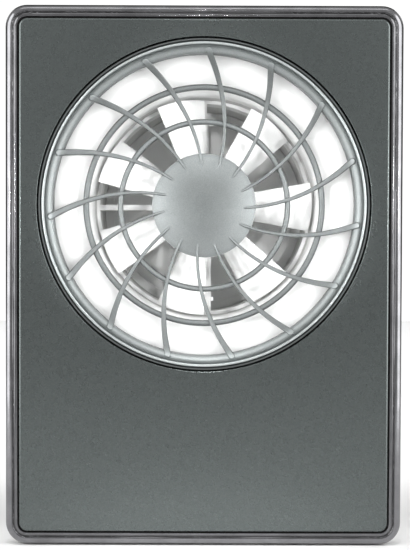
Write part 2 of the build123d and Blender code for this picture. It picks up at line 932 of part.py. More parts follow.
def motor_bracket():
    ring_inner_r = bracket_r - bracket_ring_wall
    disc_back = bracket_disc_front + bracket_disc_thickness
    bracket = disc(bracket_r, bracket_ring_front, bracket_ring_back)
    bracket -= disc(ring_inner_r, bracket_ring_front, bracket_ring_back)
    bracket += disc(bracket_disc_r, bracket_disc_front, disc_back)
    ring_middle_r = bracket_r - bracket_ring_wall / 2
    strut_start = bracket_disc_r - bracket_ring_wall
    strut = block(
        strut_start, ring_middle_r, -strut_width / 2, strut_width / 2, bracket_ring_front, strut_back
    )
    bracket += around(strut, 4)
    half = lead_strut_width / 2
    bracket += block(-half, half, -ring_middle_r, -strut_start, bracket_ring_front, strut_back)
    bracket += disc(bearing_tube_r, bearing_front_face, bearing_back_face)
    seat_r = bearing_r + bearing_seat_gap
    for front in (bearing_front_face, bearing_back_face - bearing_width):
        bracket -= disc(seat_r, front, front + bearing_width)
    bracket -= disc(shaft_r + bearing_shoulder_gap, bearing_front_face, bearing_back_face)
    channel = lead_r + lead_clearance
    bracket -= block(
        -channel, channel, -bracket_r - channel, -bracket_disc_r, lead_depth - channel, lead_depth + channel
    )
    bracket -= block(
        -channel, channel, -ring_inner_r, -lead_start_drop + channel, disc_back, strut_back
    )
    bracket -= disc(channel, bracket_disc_front, disc_back, 0, -lead_start_drop)
    return bracket


def bearing(front):
    """Ball bearing: rings with a shield groove between them on each face."""
    inner_r = shaft_r + shaft_running_gap
    third = (bearing_r - inner_r) / 3
    ring = disc(bearing_r, front, front + bearing_width) - disc(inner_r, front, front + bearing_width)
    for face in (front, front + bearing_width - bearing_groove_depth):
        groove = disc(bearing_r - third, face, face + bearing_groove_depth)
        ring -= groove - disc(inner_r + third, face, face + bearing_groove_depth)
    return ring


def bearing_front():
    return bearing(bearing_front_face)


def bearing_rear():
    return bearing(bearing_back_face - bearing_width)


def motor_shaft():
    shaft = disc(shaft_r, shaft_front, shaft_back)
    shaft = chamfer(shaft.edges().filter_by(GeomType.CIRCLE), clip_groove_depth)
    clip_front_face = bearing_back_face + shaft_clip_gap
    clip_back_face = clip_front_face + shaft_clip_thickness + shaft_seat_gap
    groove = disc(shaft_r, clip_front_face, clip_back_face)
    groove -= disc(shaft_r - clip_groove_depth, clip_front_face, clip_back_face)
    return shaft - groove


def shaft_clip():
    """Open retaining ring in the shaft's groove."""
    front = bearing_back_face + shaft_clip_gap + shaft_seat_gap / 2
    back = front + shaft_clip_thickness
    ring = disc(shaft_clip_r, front, back)
    ring -= disc(shaft_r - clip_groove_depth + shaft_seat_gap, front, back)
    return ring - block(
        -shaft_clip_slot / 2, shaft_clip_slot / 2, 0, shaft_clip_r, front, back
    )


def stator_core():
    """Laminated core: hub, teeth and pole shoes."""
    bore_r = bearing_tube_r + stator_seat_gap
    shoe_inner_r = stator_r - shoe_thickness
    shoes = disc(stator_r, stator_front, stator_back) - disc(shoe_inner_r, stator_front, stator_back)
    slot = block(
        shoe_inner_r - shoe_thickness, stator_r + shoe_thickness, -shoe_slot / 2, shoe_slot / 2,
        stator_front, stator_back,
    )
    shoes -= around(slot, tooth_count, 180.0 / tooth_count)
    tooth = block(
        bore_r, shoe_inner_r + shoe_thickness / 2, -tooth_width / 2, tooth_width / 2,
        stator_front, stator_back,
    )
    core = disc(stator_hub_r, stator_front, stator_back)
    core += around(tooth, tooth_count)
    core += shoes
    return core - disc(bore_r, stator_front, stator_back)


def stator_windings():
    """One coil round each tooth."""
    inner = tooth_width / 2 + coil_gap
    outer = inner + coil_build
    start_r = stator_hub_r + coil_build
    end_r = math.sqrt((stator_r - shoe_thickness) ** 2 - outer ** 2) - coil_gap
    front = stator_front - coil_gap
    back = stator_back + coil_gap
    coil = block(start_r, end_r, -outer, outer, stator_front - coil_overhang, stator_back + coil_overhang)
    coil = fillet(coil.edges().filter_by(Axis.X), coil_build / 2)
    coil -= block(start_r, end_r, -inner, inner, front, back)
    return Compound([piece.solid() for piece in around(coil, tooth_count)])


def magnet_ring():
    ring = disc(magnet_r, magnet_front, magnet_back)
    return ring - disc(magnet_inner_r, magnet_front, magnet_back)


def rotor_cup():
    cup = disc(rotor_r, rotor_front, rotor_back)
    cup = fillet(cup.faces().sort_by(Axis.Y)[0].edges(), rotor_wall)
    cup -= disc(rotor_r - rotor_wall, rotor_front + rotor_wall, rotor_back)
    cup += disc(rotor_boss_r, rotor_front + rotor_wall, rotor_boss_back)
    return cup - disc(shaft_r + shaft_seat_gap, shaft_front - shaft_seat_gap, rotor_boss_back)


def motor_board():
    """Round driver board on the bracket's disc, with its chip."""
    front = bracket_disc_front - motor_board_thickness
    board = disc(motor_board_r, front, bracket_disc_front)
    board -= disc(motor_board_bore, front, bracket_disc_front)
    half = driver_chip_size / 2
    chip_front = front - driver_chip_height
    return board + block(
        -half, half, driver_chip_drop - half, driver_chip_drop + half, chip_front, front
    )


def blade_section(radius, chord, angle, thickness):
    """Cambered blade section on the plane at a radius; its ends are blunt."""
    half = chord / 2
    edge = thickness * blade_edge_share / 2
    crest = blade_camber + thickness / 2
    trough = blade_camber - thickness / 2
    outline = make_face([
        ThreePointArc((-half, edge), (0, crest), (half, edge)),
        Line((half, edge), (half, -edge)),
        ThreePointArc((half, -edge), (0, trough), (-half, -edge)),
        Line((-half, -edge), (-half, edge)),
    ])
    across = Plane(origin=(radius, blade_middle_depth, 0), x_dir=(0, 0, 1), z_dir=(1, 0, 0))
    return across * Rot(0, 0, angle) * outline


def impeller():
    """Hub cup over the rotor, and blades that flatten towards their tips."""
    nose_middle_r = impeller_hub_r * 2 / 3
    shoulder = impeller_nose_front + impeller_nose_r
    inner_front = rotor_front - rotor_gap
    hub = turned(
        Line((0, impeller_nose_front), (nose_middle_r, impeller_nose_front)),
        TangentArc((nose_middle_r, impeller_nose_front), (impeller_hub_r, shoulder), tangent=(1, 0)),
        Polyline(
            (impeller_hub_r, shoulder), (impeller_hub_r, impeller_hub_back),
            (impeller_bore_r, impeller_hub_back), (impeller_bore_r, inner_front), (0, inner_front),
            (0, impeller_nose_front),
        ),
    )
    start_r = impeller_bore_r - blade_overrun
    blade = loft([
        blade_section(start_r, blade_root_chord, blade_root_angle, blade_root_thickness),
        blade_section(blade_tip_r + blade_overrun, blade_tip_chord, blade_tip_angle, blade_tip_thickness),
    ])
    band = disc(blade_tip_r, rotor_front, impeller_hub_back)
    band -= disc(impeller_bore_r + impeller_hub_wall / 2, rotor_front, impeller_hub_back)
    return hub + around(blade & band, blade_count)


def lead_path():
    points = [
        (0, bracket_disc_front, -lead_start_drop), (0, lead_depth, -lead_start_drop),
        (0, lead_depth, -lead_drop), (0, lead_bay_depth, -lead_drop),
        (0, lead_bay_depth, motor_connector_top),
    ]
    return FilletPolyline(*points, radius=[lead_exit_turn_r, lead_turn_r, lead_bay_turn_r])


def motor_lead():
    path = lead_path()
    section = Plane(origin=path @ 0, z_dir=path % 0) * Circle(lead_r)
    lead = sweep(section, path=path)
    expected = math.pi * lead_r ** 2 * path.length
    print("motor lead: turns of", lead_exit_turn_r, lead_turn_r, lead_bay_turn_r, "mm;",
          "length", round(path.length, 1), "volume", round(lead.volume, 2), "expected", round(expected, 2))
    return lead


def shutter_frame():
    """Seat ring with a middle bar and two ears for the flaps' pin."""
    frame = turned_points(
        (shutter_seat_r, shutter_front), (shutter_r, shutter_front), (shutter_r, shutter_back),
        (shutter_wall_r, shutter_back), (shutter_wall_r, shutter_seat_back),
        (shutter_seat_r, shutter_seat_back),
    )
    bar_end = (shutter_seat_r + shutter_wall_r) / 2
    half = shutter_bar_half_width
    frame += block(-half, half, -bar_end, bar_end, shutter_front, shutter_seat_back)
    ear_end = (shutter_wall_r + shutter_r) / 2
    for low, high in ((-ear_end, -shutter_ear_start), (shutter_ear_start, ear_end)):
        frame += block(-half, half, low, high, shutter_seat_back, shutter_ear_back)
    pin_hole = Cylinder(shutter_pin_r + shutter_pin_seat_gap, 2 * (shutter_pin_half + shutter_pin_seat_gap))
    return frame - Pos(0, shutter_pin_depth, 0) * pin_hole


def shutter_pin():
    return Pos(0, shutter_pin_depth, 0) * Cylinder(shutter_pin_r, 2 * shutter_pin_half)


def flap_right():
    """Half disc with two knuckles round the pin and two stiffening ribs."""
    outline = Circle(flap_r) & Pos(flap_root_gap + flap_r / 2, 0) * Rectangle(flap_r, 2 * flap_r)
    for side in (-1, 1):
        notch = Rectangle(2 * flap_notch, 2 * (flap_r - flap_notch_start))
        outline -= Pos(0, side * flap_r) * notch
    flap = slab(outline, flap_front, flap_back)
    for z in flap_rib_zs:
        flap += block(
            flap_rib_start, flap_rib_end, z - flap_rib_width / 2, z + flap_rib_width / 2,
            flap_back, flap_back + flap_rib_height,
        )
    for low, high in knuckle_spans:
        middle = Pos(0, shutter_pin_depth, (low + high) / 2)
        knuckle = middle * Cylinder(knuckle_r, high - low)
        knuckle += block(0, knuckle_web_end, low, high, flap_front, flap_front + knuckle_web_thickness)
        flap += knuckle - middle * Cylinder(shutter_pin_r + knuckle_running_gap, high - low)
    return flap


def flap_left():
    return Rot(0, 180, 0) * flap_right()


def spring_start_angle():
    """Angle on the coil where the leg that touches the right flap leaves it."""
    drop = shutter_pin_depth - (flap_back + spring_wire_r + spring_leg_gap)
    reach = math.hypot(spring_leg_reach, drop)
    slope = math.atan2(drop, spring_leg_reach) + math.asin(spring_r / reach)
    return math.pi / 2 - slope, math.sqrt(reach ** 2 - spring_r ** 2)


def coil_point(angle, start, end):
    """Point and direction of the coil's centre line at an angle, in radians."""
    rise = spring_pitch / (2 * math.pi)
    height = rise * (angle - (start + end) / 2)
    point = Vector(spring_r * math.cos(angle), shutter_pin_depth + spring_r * math.sin(angle), height)
    direction = Vector(-spring_r * math.sin(angle), spring_r * math.cos(angle), rise)
    return point, direction.normalized()


def biarc(first, first_way, last, last_way):
    """Two arcs that meet smoothly and leave the end points in the given directions."""
    gap = last - first
    ways = first_way + last_way
    along = gap.dot(ways)
    spread = 2 * (1 - first_way.dot(last_way))
    reach = (math.sqrt(along ** 2 + spread * gap.dot(gap)) - along) / spread
    middle = (first + first_way * reach + last - last_way * reach) * 0.5
    start_arc = Edge.make_tangent_arc(first, first_way, middle)
    end_arc = Edge.make_tangent_arc(middle, start_arc % 1, last)
    return [start_arc, end_arc]


def spring_path():
    start, leg = spring_start_angle()
    end = math.pi - start + 2 * math.pi * spring_full_turns
    spans = 2 * spring_full_turns
    angles = [start + (end - start) * k / spans for k in range(spans + 1)]
    places = [coil_point(angle, start, end) for angle in angles]
    first, first_way = places[0]
    last, last_way = places[-1]
    edges = [Edge.make_line(first - first_way * leg, first)]
    for (a, a_way), (b, b_way) in zip(places, places[1:]):
        edges += biarc(a, a_way, b, b_way)
    edges.append(Edge.make_line(last, last + last_way * leg))
    return Wire(edges)


def least_gap(path, wire_r, samples):
    """Least gap between turns, from points along the path at least half a turn apart."""
    points = [path @ (k / samples) for k in range(samples + 1)]
    apart = math.ceil(math.pi * spring_r / (path.length / samples))
    distances = [
        (points[i] - points[j]).length
        for i in range(len(points)) for j in range(i + apart, len(points))
    ]
    return min(distances) - 2 * wire_r


def flap_spring():
    path = spring_path()
    section = Plane(origin=path @ 0, z_dir=path % 0) * Circle(spring_wire_r)
    spring = sweep(section, path=path)
    print("flap spring: least gap between turns", round(least_gap(path, spring_wire_r, spring_samples), 3),
          "volume", round(spring.volume, 3), "expected",
          round(math.pi * spring_wire_r ** 2 * path.length, 3))
    return spring


def electronics_lid():
    lid = block(-bay_half_width, bay_half_width, bay_bottom, bay_top, lid_front, bay_front)
    lid = fillet(lid.faces().sort_by(Axis.Y)[0].edges(), lid_edge_r)
    for x, z in (timer_place, humidity_place):
        lid -= disc(knob_access_r, lid_front, bay_front, x, z)
    for x, z in lid_screw_places():
        lid -= disc(lid_screw_r + screw_hole_clearance, lid_front, bay_front, x, z)
    for k in range(lid_vent_count):
        x = lid_vent_x + (k - (lid_vent_count - 1) / 2) * lid_vent_pitch
        slot = Pos(x, sensor_place[1]) * SlotOverall(lid_vent_length, lid_vent_width, 90)
        lid -= slab(slot, lid_front, bay_front)
    return lid


def lid_screws():
    head_front = lid_front - lid_screw_head_height
    tip = lid_front + lid_screw_length
    return Compound([
        screw(x, z, head_front, lid_screw_head_height, lid_screw_head_r, lid_screw_r, tip).solid()
        for x, z in lid_screw_places()
    ])


def control_board():
    board = block(board_left, board_right, board_bottom, board_top, board_front, board_back)
    for x, z in board_screw_places():
        board -= disc(board_screw_r + screw_hole_clearance, board_front, board_back, x, z)
    return board


def board_screws():
    head_front = board_front - board_screw_head_height
    tip = board_front + board_screw_length
    return Compound([
        screw(x, z, head_front, board_screw_head_height, board_screw_head_r, board_screw_r, tip).solid()
        for x, z in board_screw_places()
    ])


def board_box(place, size, height):
    """Box standing on the board's front."""
    x, z = place
    return block(
        x - size[0] / 2, x + size[0] / 2, z - size[1] / 2, z + size[1] / 2,
        board_front - height, board_front,
    )


def relay():
    place = (relay_x, board_bottom + relay_rise)
    return fillet(board_box(place, relay_size, relay_height).edges(), connector_edge_r)


def filter_capacitor():
    place = (0.0, board_bottom + film_cap_rise)
    return fillet(board_box(place, film_cap_size, film_cap_height).edges(), connector_edge_r)


def smoothing_capacitor():
    x, z = smoothing_cap_x, board_bottom + smoothing_cap_rise
    top = board_front - smoothing_cap_height
    can = disc(smoothing_cap_r, top, board_front, x, z)
    can = fillet(can.faces().sort_by(Axis.Y)[0].edges(), connector_edge_r)
    crimp_at = board_front - smoothing_cap_crimp_height
    crimp = Torus(smoothing_cap_r, smoothing_cap_crimp)
    return can - Pos(x, crimp_at, z) * Rot(90, 0, 0) * crimp


def inductor():
    """Ring core standing on the board, with a rounded section."""
    x, z = inductor_x, board_top - inductor_drop
    top = board_front - inductor_height
    ring = disc(inductor_r, top, board_front, x, z) - disc(inductor_bore, top, board_front, x, z)
    return fillet(ring.edges().filter_by(GeomType.CIRCLE), connector_edge_r)


def control_chip():
    x, z = chip_x, board_top - chip_drop
    chip = board_box((x, z), chip_size, chip_height)
    pitch = chip_size[0] / chip_lead_count
    for k in range(chip_lead_count):
        lead_x = x + (k - (chip_lead_count - 1) / 2) * pitch
        half = chip_size[1] / 2 + chip_lead_reach
        chip += block(
            lead_x - chip_lead_size / 2, lead_x + chip_lead_size / 2, z - half, z + half,
            board_front - chip_lead_height, board_front,
        )
    return chip


def humidity_sensor():
    x, z = sensor_place
    can = disc(sensor_r, board_front - sensor_height, board_front, x, z)
    return fillet(can.faces().sort_by(Axis.Y)[0].edges(), connector_edge_r)


def motor_connector():
    place = (0.0, motor_connector_top - motor_connector_size[1] / 2)
    return fillet(board_box(place, motor_connector_size, motor_connector_height).edges(), connector_edge_r)


def mains_connector():
    body = board_box((mains_connector_x, terminal_z), mains_connector_size, mains_connector_height)
    return fillet(body.edges(), connector_edge_r)


def trimmer(place):
    """Body of a trimmer with a well for its knob's stem."""
    body = fillet(board_box(place, (trimmer_size, trimmer_size), trimmer_height).edges(), connector_edge_r)
    top = board_front - trimmer_height
    return body - disc(trimmer_bore, top, top + trimmer_recess, *place)


def trimmer_knob(place):
    """Knob with a slot for a screwdriver, reached through the lid."""
    well_floor = board_front - trimmer_height + trimmer_recess
    knob = disc(knob_stem_r, knob_head_back, well_floor - screw_hole_clearance, *place)
    head = disc(knob_r, knob_front, knob_head_back, *place)
    knob += fillet(head.faces().sort_by(Axis.Y)[0].edges(), connector_edge_r)
    x, z = place
    half = knob_slot_width / 2
    return knob - block(
        x - knob_r, x + knob_r, z - half, z + half, knob_front, knob_front + knob_slot_depth
    )


def timer_trimmer():
    return trimmer(timer_place)


def timer_knob():
    return trimmer_knob(timer_place)


def humidity_trimmer():
    return trimmer(humidity_place)


def humidity_knob():
    return trimmer_knob(humidity_place)


def terminal_places():
    """Middles of the poles, one above the other."""
    pitch = terminal_height / terminal_count
    x = (terminal_left + terminal_right) / 2
    middle = (terminal_count - 1) / 2
    return [(x, terminal_z + (k - middle) * pitch) for k in range(terminal_count)]


def terminal_block():
    """Block with a screw well and a wire hole for each pole."""
    half_h = terminal_height / 2
    front = casing_floor - terminal_depth
    body = block(
        terminal_left, terminal_right, terminal_z - half_h, terminal_z + half_h, front, casing_floor
    )
    body = fillet(body.faces().sort_by(Axis.Y)[0].edges(), terminal_edge_r)
    wire_depth = (front + casing_floor) / 2
    for x, z in terminal_places():
        body -= disc(terminal_well_r, front, front + terminal_well_depth, x, z)
        wire_hole = Rot(0, 90, 0) * Cylinder(terminal_wire_r, 2 * terminal_wire_depth)
        body -= Pos(terminal_right, wire_depth, z) * wire_hole
    return body


def terminal_screws():
    front = casing_floor - terminal_depth + terminal_well_depth - terminal_screw_height
    back = front + terminal_screw_height
    half = screw_slot_width / 2
    heads = []
    for x, z in terminal_places():
        head = disc(terminal_screw_r, front, back, x, z)
        head -= block(
            x - terminal_screw_r, x + terminal_screw_r, z - half, z + half, front, front + screw_slot_depth
        )
        heads.append(head.solid())
    return Compound(heads)


def supply_leads():
    """Short leads between the terminal block and the board."""
    end = mains_connector_x - mains_connector_size[0] / 2
    leads = []
    for k in range(supply_lead_count):
        z = terminal_z + (k - (supply_lead_count - 1) / 2) * supply_lead_pitch
        lead = Rot(0, 90, 0) * Cylinder(supply_lead_r, end - terminal_right)
        leads.append((Pos((terminal_right + end) / 2, supply_lead_depth, z) * lead).solid())
    return Compound(leads)


def cable_grommet():
    """Rubber bush in the casing's cable hole, with a flange inside the casing."""
    outer_r = grommet_hole_r - grommet_fit_gap
    flange_front = casing_floor - grommet_flange_height
    x, z = grommet_x, grommet_z
    flange = disc(grommet_flange_r, flange_front, casing_floor, x, z)
    flange = fillet(flange.faces().sort_by(Axis.Y)[0].edges(), grommet_edge_r)
    bush = flange + disc(outer_r, casing_floor, 0, x, z)
    return bush - disc(grommet_bore_r, flange_front, 0, x, z)


def cable_clamp():
    """Bar across the cable, bowed forward in the middle."""
    middle_x = grommet_x
    half = clamp_length / 2
    front = clamp_post_front - clamp_thickness
    flat = clamp_post_spacing / 2 - clamp_post_r
    outline = Plane.XY.offset(clamp_z - clamp_width / 2) * make_face([
        Line((middle_x - half, clamp_post_front), (middle_x - flat, clamp_post_front)),
        ThreePointArc(
            (middle_x - flat, clamp_post_front), (middle_x, clamp_post_front - clamp_bow),
            (middle_x + flat, clamp_post_front),
        ),
        Line((middle_x + flat, clamp_post_front), (middle_x + half, clamp_post_front)),
        Line((middle_x + half, clamp_post_front), (middle_x + half, front)),
        Line((middle_x + half, front), (middle_x + flat, front)),
        ThreePointArc((middle_x + flat, front), (middle_x, front - clamp_bow), (middle_x - flat, front)),
        Line((middle_x - flat, front), (middle_x - half, front)),
        Line((middle_x - half, front), (middle_x - half, clamp_post_front)),
    ])
    bar = extrude(outline, amount=clamp_width)
    for x, z in clamp_screw_places():
        bar -= disc(clamp_screw_r + screw_hole_clearance, front, clamp_post_front, x, z)
    return bar


def clamp_screws():
    seat = clamp_post_front - clamp_thickness
    head_front = seat - clamp_screw_head_height
    tip = seat + clamp_screw_length
    return Compound([
        screw(x, z, head_front, clamp_screw_head_height, clamp_screw_head_r, clamp_screw_r, tip).solid()
        for x, z in clamp_screw_places()
    ])


pieces = [
    front_plate, cover_rim, cover_frame, grille,
    casing, cover_clips, inlet_funnel, duct_spigot, duct_screws,
    motor_bracket, bearing_front, bearing_rear, stator_core, stator_windings, motor_board,
    motor_shaft, shaft_clip, rotor_cup, magnet_ring, impeller, motor_lead,
    shutter_frame, shutter_pin, flap_left, flap_right, flap_spring,
    electronics_lid, lid_screws, control_board, board_screws, motor_connector, mains_connector,
    supply_leads, relay, filter_capacitor, smoothing_capacitor, inductor, control_chip,
    timer_trimmer, timer_knob, humidity_trimmer, humidity_knob, humidity_sensor,
    terminal_block, terminal_screws, cable_clamp, clamp_screws, cable_grommet,
]

os.makedirs("parts", exist_ok=True)
for piece in pieces:
    export_step(piece(), f"parts/{piece.__name__}.step")
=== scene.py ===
import json
import math

import bpy
from mathutils import Matrix, Vector


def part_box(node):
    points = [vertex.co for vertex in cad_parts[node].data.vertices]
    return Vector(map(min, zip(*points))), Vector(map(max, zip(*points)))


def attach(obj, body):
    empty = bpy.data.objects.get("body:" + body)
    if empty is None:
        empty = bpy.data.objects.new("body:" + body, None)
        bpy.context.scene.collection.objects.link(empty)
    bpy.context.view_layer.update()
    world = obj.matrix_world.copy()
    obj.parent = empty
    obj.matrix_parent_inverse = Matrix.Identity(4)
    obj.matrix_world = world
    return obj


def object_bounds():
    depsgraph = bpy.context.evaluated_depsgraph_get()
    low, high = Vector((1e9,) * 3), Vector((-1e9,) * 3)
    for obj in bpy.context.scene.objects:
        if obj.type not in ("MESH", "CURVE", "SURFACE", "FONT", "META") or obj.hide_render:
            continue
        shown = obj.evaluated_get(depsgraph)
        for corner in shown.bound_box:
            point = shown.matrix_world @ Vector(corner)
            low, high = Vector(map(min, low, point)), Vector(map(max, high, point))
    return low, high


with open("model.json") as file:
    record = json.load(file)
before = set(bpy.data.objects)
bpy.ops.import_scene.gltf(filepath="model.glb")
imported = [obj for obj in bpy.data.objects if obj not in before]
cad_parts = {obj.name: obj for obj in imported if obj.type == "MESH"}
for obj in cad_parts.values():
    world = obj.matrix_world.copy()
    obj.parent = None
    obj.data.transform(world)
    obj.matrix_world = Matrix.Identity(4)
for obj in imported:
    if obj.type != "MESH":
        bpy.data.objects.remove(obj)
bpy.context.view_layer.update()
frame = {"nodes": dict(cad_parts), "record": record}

# Looks of a wall-mounted bathroom exhaust fan: its finishes, one strip of painted shade in the plate's
# gap, floor, light and camera.
# All lengths are in metres. The fan's axis is the Y axis, and the cover faces -Y.

# Most values of a noise texture lie between these two.
NOISE_LOW = 0.3
NOISE_HIGH = 0.7


def set_inputs(node, values):
    for socket, value in values.items():
        node.inputs[socket].default_value = value


def set_stops(color_ramp, stops):
    """Give a new color ramp its stops, pairs of a position and a color."""
    while len(color_ramp.elements) < len(stops):
        color_ramp.elements.new(0.5)
    for element, (position, color) in zip(color_ramp.elements, stops):
        element.position = position
        element.color = (*color, 1)


def grey(strength):
    return (strength, strength, strength)


def scaled(color, share):
    return tuple(min(1.0, c * share) for c in color)


class Finish:
    """A material with its nodes, built up step by step in the part's own coordinates."""

    def __init__(self, name):
        self.material = bpy.data.materials.new(name)
        self.material.use_nodes = True
        self.nodes = self.material.node_tree.nodes
        self.links = self.material.node_tree.links
        self.nodes.clear()
        self.shader = self.nodes.new("ShaderNodeBsdfPrincipled")
        out = self.nodes.new("ShaderNodeOutputMaterial")
        self.links.new(self.shader.outputs["BSDF"], out.inputs["Surface"])
        self.place = self.nodes.new("ShaderNodeTexCoord").outputs["Object"]

    def stretched(self, scale):
        """The place on the object, each axis times its scale."""
        mapping = self.nodes.new("ShaderNodeMapping")
        mapping.inputs["Scale"].default_value = scale
        self.links.new(self.place, mapping.inputs["Vector"])
        return mapping.outputs["Vector"]

    def noise(self, scale, detail, rough=0.55, stretch=(1, 1, 1)):
        node = self.nodes.new("ShaderNodeTexNoise")
        set_inputs(node, {"Scale": scale, "Detail": detail, "Roughness": rough})
        self.links.new(self.stretched(stretch), node.inputs["Vector"])
        return node.outputs["Fac"]

    def ramp(self, factor, stops):
        node = self.nodes.new("ShaderNodeValToRGB")
        set_stops(node.color_ramp, stops)
        self.links.new(factor, node.inputs["Fac"])
        return node.outputs["Color"]

    def span(self, factor, start, end, low, high):
        """Low where factor is start, high where it is end."""
        node = self.nodes.new("ShaderNodeMapRange")
        set_inputs(node, {"From Min": start, "From Max": end, "To Min": low, "To Max": high})
        self.links.new(factor, node.inputs["Value"])
        return node.outputs["Result"]

    def vector(self, operation, first, second=None):
        node = self.nodes.new("ShaderNodeVectorMath")
        node.operation = operation
        self.links.new(first, node.inputs[0])
        if second is not None:
            node.inputs[1].default_value = second
        return node.outputs["Value" if operation == "LENGTH" else "Vector"]

    def number(self, operation, first, second):
        """Arithmetic on sockets and plain numbers."""
        node = self.nodes.new("ShaderNodeMath")
        node.operation = operation
        for socket, value in zip(node.inputs, (first, second)):
            if isinstance(value, float):
                socket.default_value = value
            else:
                self.links.new(value, socket)
        return node.outputs["Value"]

    def times(self, first, second):
        """The product of two colors."""
        node = self.nodes.new("ShaderNodeMix")
        node.data_type = "RGBA"
        node.blend_type = "MULTIPLY"
        factor, first_color, second_color = node.inputs[0], node.inputs[6], node.inputs[7]
        factor.default_value = 1.0
        self.links.new(first, first_color)
        self.links.new(second, second_color)
        return node.outputs[2]

    def from_axis(self):
        """Distance from the fan's axis."""
        return self.vector("LENGTH", self.stretched((1, 0, 1)))

    def from_outline(self, half_width, half_height, corner_r, middle_z):
        """Distance inwards from a rounded outline in the X-Z plane."""
        centred = self.vector("SUBTRACT", self.stretched((1, 0, 1)), (0, 0, middle_z))
        corner_centre = (half_width - corner_r, 0, half_height - corner_r)
        past = self.vector("SUBTRACT", self.vector("ABSOLUTE", centred), corner_centre)
        split = self.nodes.new("ShaderNodeSeparateXYZ")
        self.links.new(past, split.inputs[0])
        straight = self.number("MAXIMUM", split.outputs["X"], split.outputs["Z"])
        straight = self.number("MINIMUM", straight, 0.0)
        in_corner = self.vector("LENGTH", self.vector("MAXIMUM", past, (0, 0, 0)))
        outwards = self.number("ADD", straight, in_corner)
        return self.number("SUBTRACT", corner_r, outwards)

    def shaded_in_bands(self, color, distance, reach, bands):
        """The color in tones that change with a distance from 0 to reach, for painted light and shade.

        Bands are pairs of a distance and the share of the full color there.
        """
        place = self.span(distance, 0.0, reach, 0.0, 1.0)
        return self.times(color, self.ramp(place, [(at / reach, grey(share)) for at, share in bands]))

    def bump(self, height, depth, strength):
        node = self.nodes.new("ShaderNodeBump")
        set_inputs(node, {"Strength": strength, "Distance": depth})
        self.links.new(height, node.inputs["Height"])
        self.feed("Normal", node.outputs["Normal"])

    def gloss(self, noise, smoothest, roughest):
        """Roughness that wanders between two values."""
        self.feed("Roughness", self.span(noise, NOISE_LOW, NOISE_HIGH, smoothest, roughest))

    def feed(self, socket, source):
        self.links.new(source, self.shader.inputs[socket])

    def set(self, **values):
        for socket, value in values.items():
            self.shader.inputs[socket.replace("_", " ")].default_value = value


def moulded(name, color, rough=0.4, spread=0.04, **values):
    """Plastic or rubber: a slightly uneven color, patches of gloss and a fine grain."""
    finish = Finish(name)
    tones = [(NOISE_LOW, scaled(color, 1 - spread)), (NOISE_HIGH, scaled(color, 1 + spread))]
    finish.feed("Base Color", finish.ramp(finish.noise(scale=30.0, detail=4.0), tones))
    finish.gloss(finish.noise(scale=60.0, detail=3.0), rough * 0.9, rough * 1.1)
    finish.bump(finish.noise(scale=900.0, detail=2.0), depth=0.00002, strength=0.3)
    finish.set(**values)
    return finish.material


def metal(name, color, rough=0.3, stretch=(1, 1, 1)):
    """Bare metal with fine marks, which a large stretch along an axis makes thin that way."""
    finish = Finish(name)
    tones = [(NOISE_LOW, scaled(color, 0.9)), (NOISE_HIGH, color)]
    patches = finish.noise(scale=375.0, detail=4.0, rough=0.6, stretch=stretch)
    marks = finish.noise(scale=1500.0, detail=3.0, rough=0.6, stretch=stretch)
    finish.feed("Base Color", finish.ramp(finish.noise(scale=80.0, detail=4.0), tones))
    finish.gloss(patches, rough * 0.8, rough * 1.25)
    finish.bump(marks, depth=0.00001, strength=0.4)
    finish.set(Metallic=1.0)
    return finish.material


def flaked(name, dark, light, rough, reach=None, bands=None):
    """Metallic paint: small flakes that shade a little differently from one another.

    With bands, its tone changes with the distance from the fan's axis, up to reach, as painted light and
    shade.
    """
    finish = Finish(name)
    color = finish.ramp(finish.noise(scale=2600.0, detail=2.0), [(0.25, dark), (0.75, light)])
    if bands is not None:
        color = finish.shaded_in_bands(color, finish.from_axis(), reach, bands)
    finish.feed("Base Color", color)
    finish.gloss(finish.noise(scale=325.0, detail=3.0), rough * 0.92, rough * 1.08)
    finish.bump(finish.noise(scale=1300.0, detail=2.0), depth=0.00004, strength=0.2)
    finish.set(Metallic=1.0)
    return finish.material


def half_sizes(node):
    """Half the width, half the height and the middle Z of a node that is centred on X = 0."""
    lowest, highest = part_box(node)
    return (highest.x - lowest.x) / 2, (highest.z - lowest.z) / 2, (highest.z + lowest.z) / 2


def smoked_bezel(name):
    """Glossy smoked plastic with faint streaks, in bands that follow the bezel's outline: painted shade
    as a dark line along the outer edge, and a darker hollow and bead that dull reflections there.
    """
    color = (0.155, 0.155, 0.162)
    rough = 0.14
    corner_r = 0.0113
    half_width, half_height, middle_z = half_sizes("cover_rim")
    reach = 0.01
    bands = [
        # Painted shade along the outer edge, then the broad roll at full tone.
        (0.0, 0.3), (0.0005, 0.3), (0.0008, 1.0), (0.0033, 1.0),
        # Painted shade in the hollow between the roll and the bead, which dulls a reflection on the
        # bead's outer flank, then the bead, a little darker.
        (0.0037, 0.4), (0.005, 0.33), (0.0054, 0.75),
    ]
    finish = Finish(name)
    pale = scaled(color, 1.35)
    streaks = finish.ramp(finish.noise(scale=90.0, detail=4.0), [(0.35, color), (0.65, pale)])
    inwards = finish.from_outline(half_width, half_height, corner_r, middle_z)
    finish.feed("Base Color", finish.shaded_in_bands(streaks, inwards, reach, bands))
    finish.gloss(finish.noise(scale=200.0, detail=3.0), rough * 0.7, rough * 1.5)
    finish.bump(finish.noise(scale=250.0, detail=2.0), depth=0.00002, strength=0.25)
    finish.set(Metallic=0.95, Coat_Weight=0.4, Coat_Roughness=0.05)
    return finish.material


